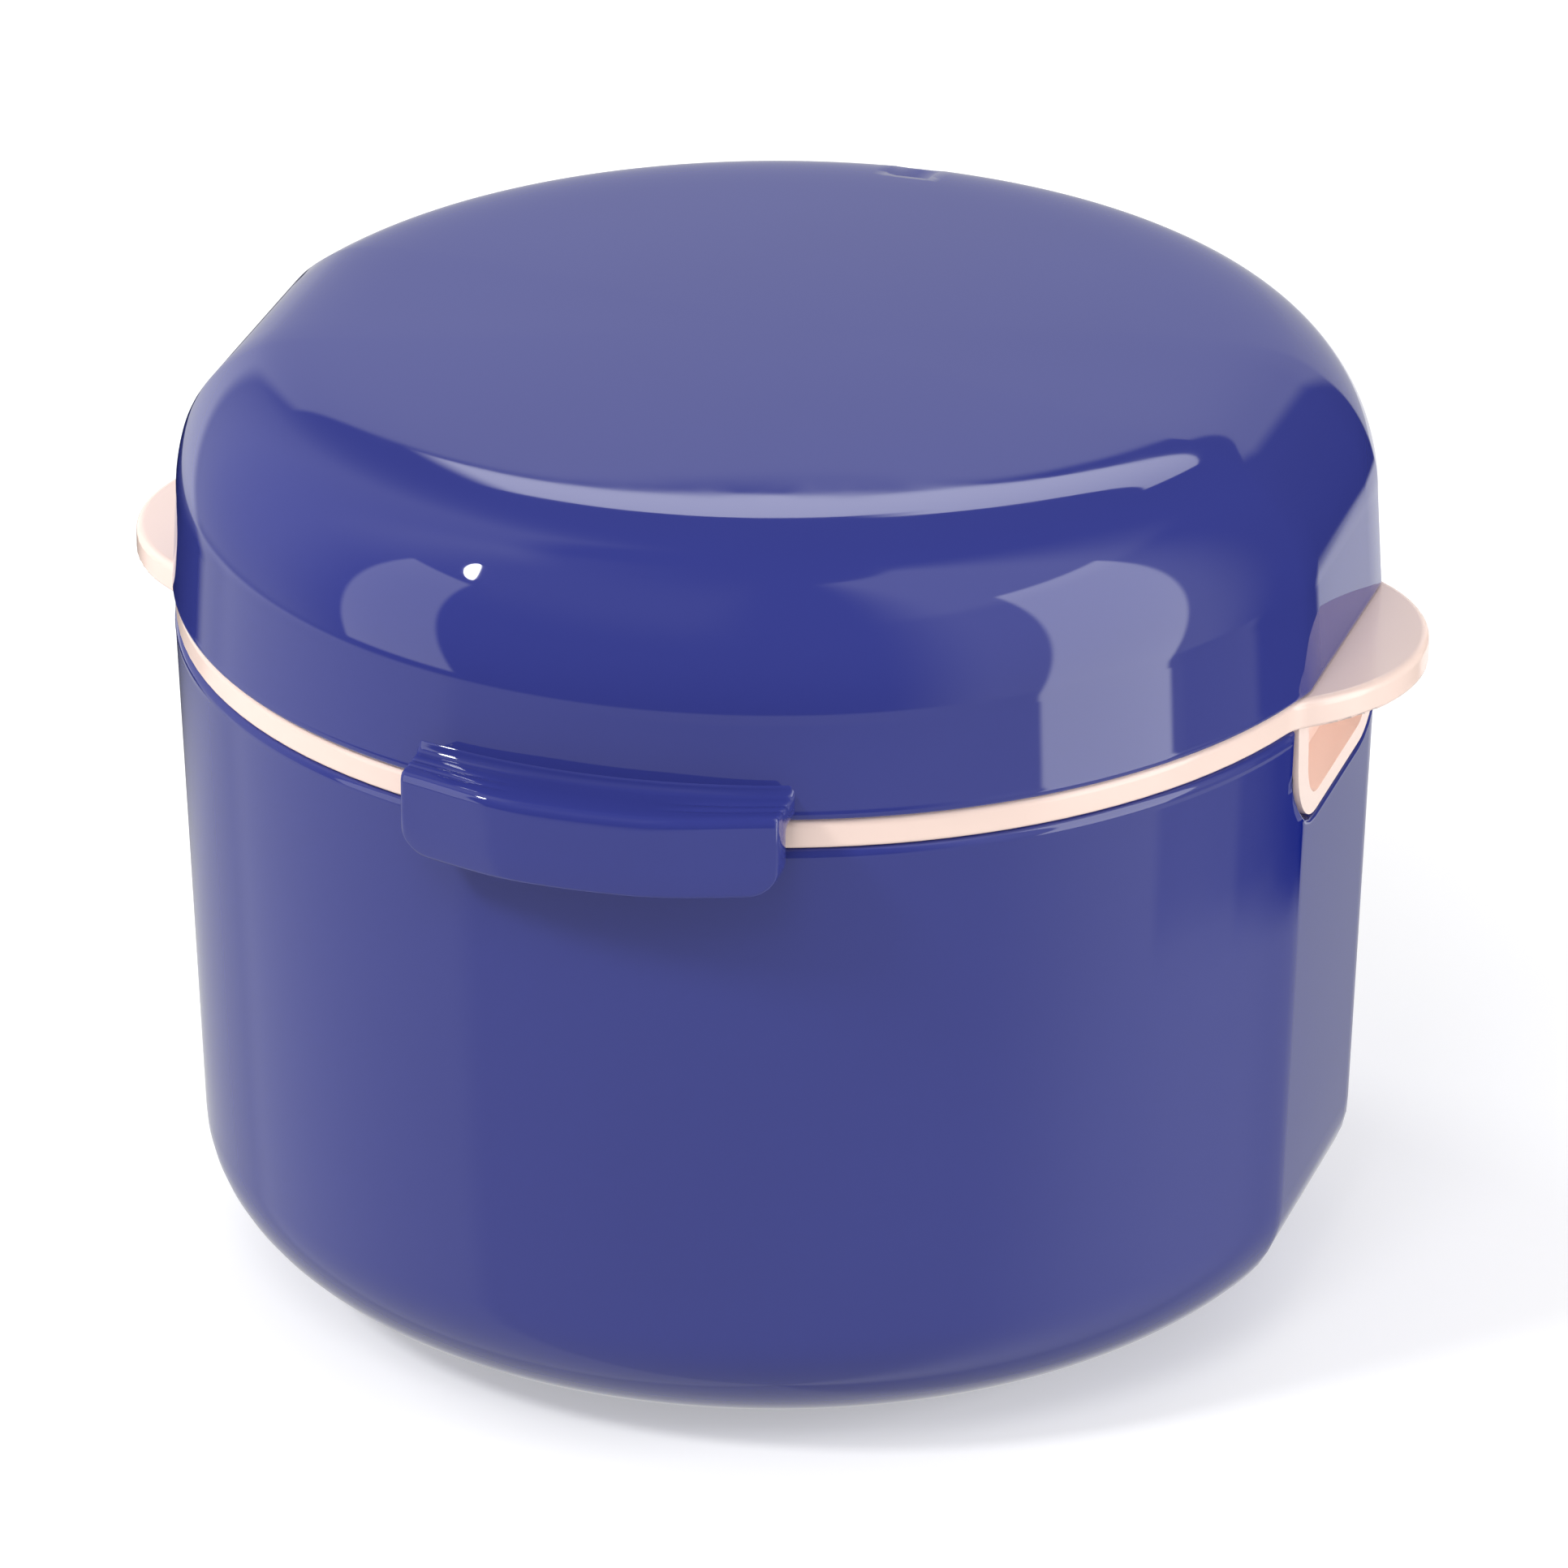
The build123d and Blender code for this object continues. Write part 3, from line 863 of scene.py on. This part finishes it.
def patch_mask(maths, patch, reach, height):
    """1 on the patch and 0 off it. Reach is degrees from its middle line, height is elevation."""
    low = patch["low"]
    high = patch["high"]
    half = patch["half_width"]
    soft = patch["soft"]
    soft_z = patch.get("soft_z", soft)
    if patch.get("oval"):
        above = maths.calculate("SUBTRACT", height, (low + high) / 2)
        across = maths.calculate("POWER", maths.calculate("DIVIDE", reach, half), 2.0)
        up = maths.calculate("POWER", maths.calculate("DIVIDE", above, (high - low) / 2), 2.0)
        return maths.step(maths.calculate("ADD", across, up), 1 + soft, 1 - soft)
    sides = maths.step(reach, half + soft, half - soft)
    foot = maths.step(height, low - soft_z, low + soft_z)
    top = maths.step(height, high + soft_z, high - soft_z)
    return maths.calculate("MULTIPLY", maths.calculate("MULTIPLY", sides, foot), top)


def patch_glow(maths, patch, azimuth, elevation):
    offset = maths.calculate("SUBTRACT", azimuth, patch["azimuth"])
    offset = maths.calculate("WRAP", offset, 180.0, -180.0)
    lean = maths.calculate("MULTIPLY", elevation, patch.get("lean", 0.0))
    offset = maths.calculate("SUBTRACT", offset, lean)
    slant = maths.calculate("MULTIPLY", offset, patch.get("slant", 0.0))
    height = maths.calculate("ADD", elevation, slant)
    taper = maths.calculate("MULTIPLY", elevation, patch.get("taper", 0.0))
    reach = maths.calculate("ADD", maths.calculate("ABSOLUTE", offset), taper)
    return maths.calculate("MULTIPLY", patch_mask(maths, patch, reach, height), patch["level"])


def new_background(nodes, colour, strength):
    background = nodes.new("ShaderNodeBackground")
    background.inputs["Color"].default_value = (*colour, 1)
    background.inputs["Strength"].default_value = strength
    return background


def mix_by_ray(nodes, links, ray, usual, special):
    """Special for rays of one kind, usual for all others."""
    paths = nodes.new("ShaderNodeLightPath")
    mix = nodes.new("ShaderNodeMixShader")
    links.new(paths.outputs[ray], mix.inputs["Fac"])
    links.new(usual.outputs[0], mix.inputs[1])
    links.new(special.outputs[0], mix.inputs[2])
    return mix


def add_world(patches, ambient):
    """White for the camera, an even glow for soft light, and for reflections a dim room painted
    with soft-edged patches."""
    world = bpy.data.worlds.new("studio")
    world.use_nodes = True
    nodes = world.node_tree.nodes
    links = world.node_tree.links
    nodes.clear()
    maths = WorldMaths(nodes, links)
    azimuth, elevation = maths.direction_angles()
    glows = [patch_glow(maths, patch, azimuth, elevation) for patch in patches]
    total = glows[0]
    for glow in glows[1:]:
        total = maths.calculate("ADD", total, glow)
    room = new_background(nodes, (1, 1, 1), 1.0)
    links.new(total, room.inputs["Strength"])
    soft_light = new_background(nodes, (1, 0.99, 0.98), ambient)
    backdrop = new_background(nodes, (1, 1, 1), 1.0)
    lit = mix_by_ray(nodes, links, "Is Glossy Ray", soft_light, room)
    seen = mix_by_ray(nodes, links, "Is Camera Ray", lit, backdrop)
    output = nodes.new("ShaderNodeOutputWorld")
    links.new(seen.outputs[0], output.inputs[0])
    scene.world = world


# Each patch of the reflected room is centred on an azimuth, from -Y towards +X. All angles are
# degrees. Soft and soft_z are half the width of its blurred sides and of its blurred lower and
# upper edge. Lean shifts it sideways with height, slant tilts its lower and upper edge, and taper
# narrows it with height. Levels add up where patches overlap, and a negative one takes away.
dim_room = [
    dict(azimuth=0, half_width=200, low=5, high=120, soft=1, soft_z=20, level=0.04),
]
broad_soft_lights = [
    dict(azimuth=-108, half_width=30, low=-17.5, high=65, soft=18, soft_z=4, level=0.62),
    dict(azimuth=79.5, half_width=32.5, low=-17.5, high=79, soft=12, soft_z=1, level=0.82),
    dict(azimuth=87, half_width=40, low=45, high=79, soft=12, soft_z=3, level=0.4),
    dict(azimuth=-45, half_width=50, low=38, high=75, soft=10, soft_z=14, level=0.22),
]
pale_floor = [
    dict(azimuth=0, half_width=200, low=-120, high=-24.5, soft=1, level=0.68),
    dict(azimuth=-14, half_width=111, low=-24.5, high=-17.5, soft=3, soft_z=1, level=0.68),
    dict(azimuth=108, half_width=11, low=-24.5, high=-17.5, soft=2, soft_z=1, level=0.42),
    dict(azimuth=180, half_width=20, low=-24.5, high=-17.5, soft=3, soft_z=1, level=1.0),
    dict(azimuth=-80, half_width=33, low=-120, high=-17.5, soft=4, soft_z=1, level=0.22),
    dict(azimuth=93, half_width=22, low=-120, high=-24.5, soft=18, soft_z=1, level=0.3),
]
floor_shade = [
    dict(azimuth=155, half_width=26, low=-120, high=-24.5, soft=8, soft_z=1, level=-0.17),
    dict(
        azimuth=107, half_width=11, low=-28.1, high=-24.5, slant=-0.036,
        soft=2, soft_z=0.15, level=-0.4,
    ),
    dict(
        azimuth=137, half_width=19, low=-27.05, high=-24.5, slant=-0.036,
        soft=2, soft_z=0.15, level=-0.65,
    ),
]
white_surroundings_behind = [
    dict(
        azimuth=-162.5, half_width=29.5, low=-18, high=27.9, lean=-0.35, taper=0.15,
        soft=3, soft_z=0.4, level=0.66,
    ),
]
strip_light_behind = [
    dict(azimuth=-161.7, half_width=3.5, low=28.3, high=32.2, soft=0.8, soft_z=0.12, level=2.6),
    dict(
        azimuth=-175.1, half_width=9.9, low=33.0, high=38.3, slant=0.5,
        soft=0.8, soft_z=0.12, level=2.6,
    ),
]
windows = [
    dict(
        azimuth=-59.5, half_width=11.5, low=-14, high=40.5, lean=-0.12, taper=0.06,
        soft=0.8, level=1.9,
    ),
    dict(
        azimuth=83.3, half_width=15, low=-22.5, high=49.5, lean=0.1, taper=-0.03,
        soft=0.8, level=3.5,
    ),
]
small_bright_lamp = [
    dict(
        azimuth=-63.4, half_width=5.6, low=45.9, high=49.7, slant=0.75, oval=True,
        soft=0.15, level=50.0,
    ),
]
reflected_room = (
    dim_room
    + broad_soft_lights
    + pale_floor
    + floor_shade
    + white_surroundings_behind
    + strip_light_behind
    + windows
    + small_bright_lamp
)

# name, azimuth and elevation in degrees, diameter in metres, power in watts
lamps = (
    ("key", -45.0, 42.0, 0.26, 9.2),
    ("front", 0.0, 50.0, 0.6, 4.2),
    ("left", -110.0, 18.0, 0.6, 8.2),
    ("right", 95.0, 15.0, 0.6, 10.0),
    ("rear", 180.0, 12.0, 0.6, 7.0),
)

navy = gloss_plastic("navy_plastic", srgb("363d88"), srgb("343a84"), (0.02, 0.05))
peach = gloss_plastic("peach_plastic", srgb("fde4d8"), srgb("fadfd3"), (0.12, 0.2))
dress("hinge_pin", navy)
dress("strainer_basket", peach)
add_lid()
add_cup()
add_latch_flap()
add_latch_hook()

add_camera(azimuth=16.7, elevation=24.33, distance=1.0, aim=(0.00051, 0.00015, 0.0362), lens=306.0)
add_world(reflected_room, ambient=0.55)
add_floor(paleness=0.7, glow=(0.4, 0.62))
for lamp in lamps:
    add_lamp(*lamp)

scene.view_settings.view_transform = "Standard"
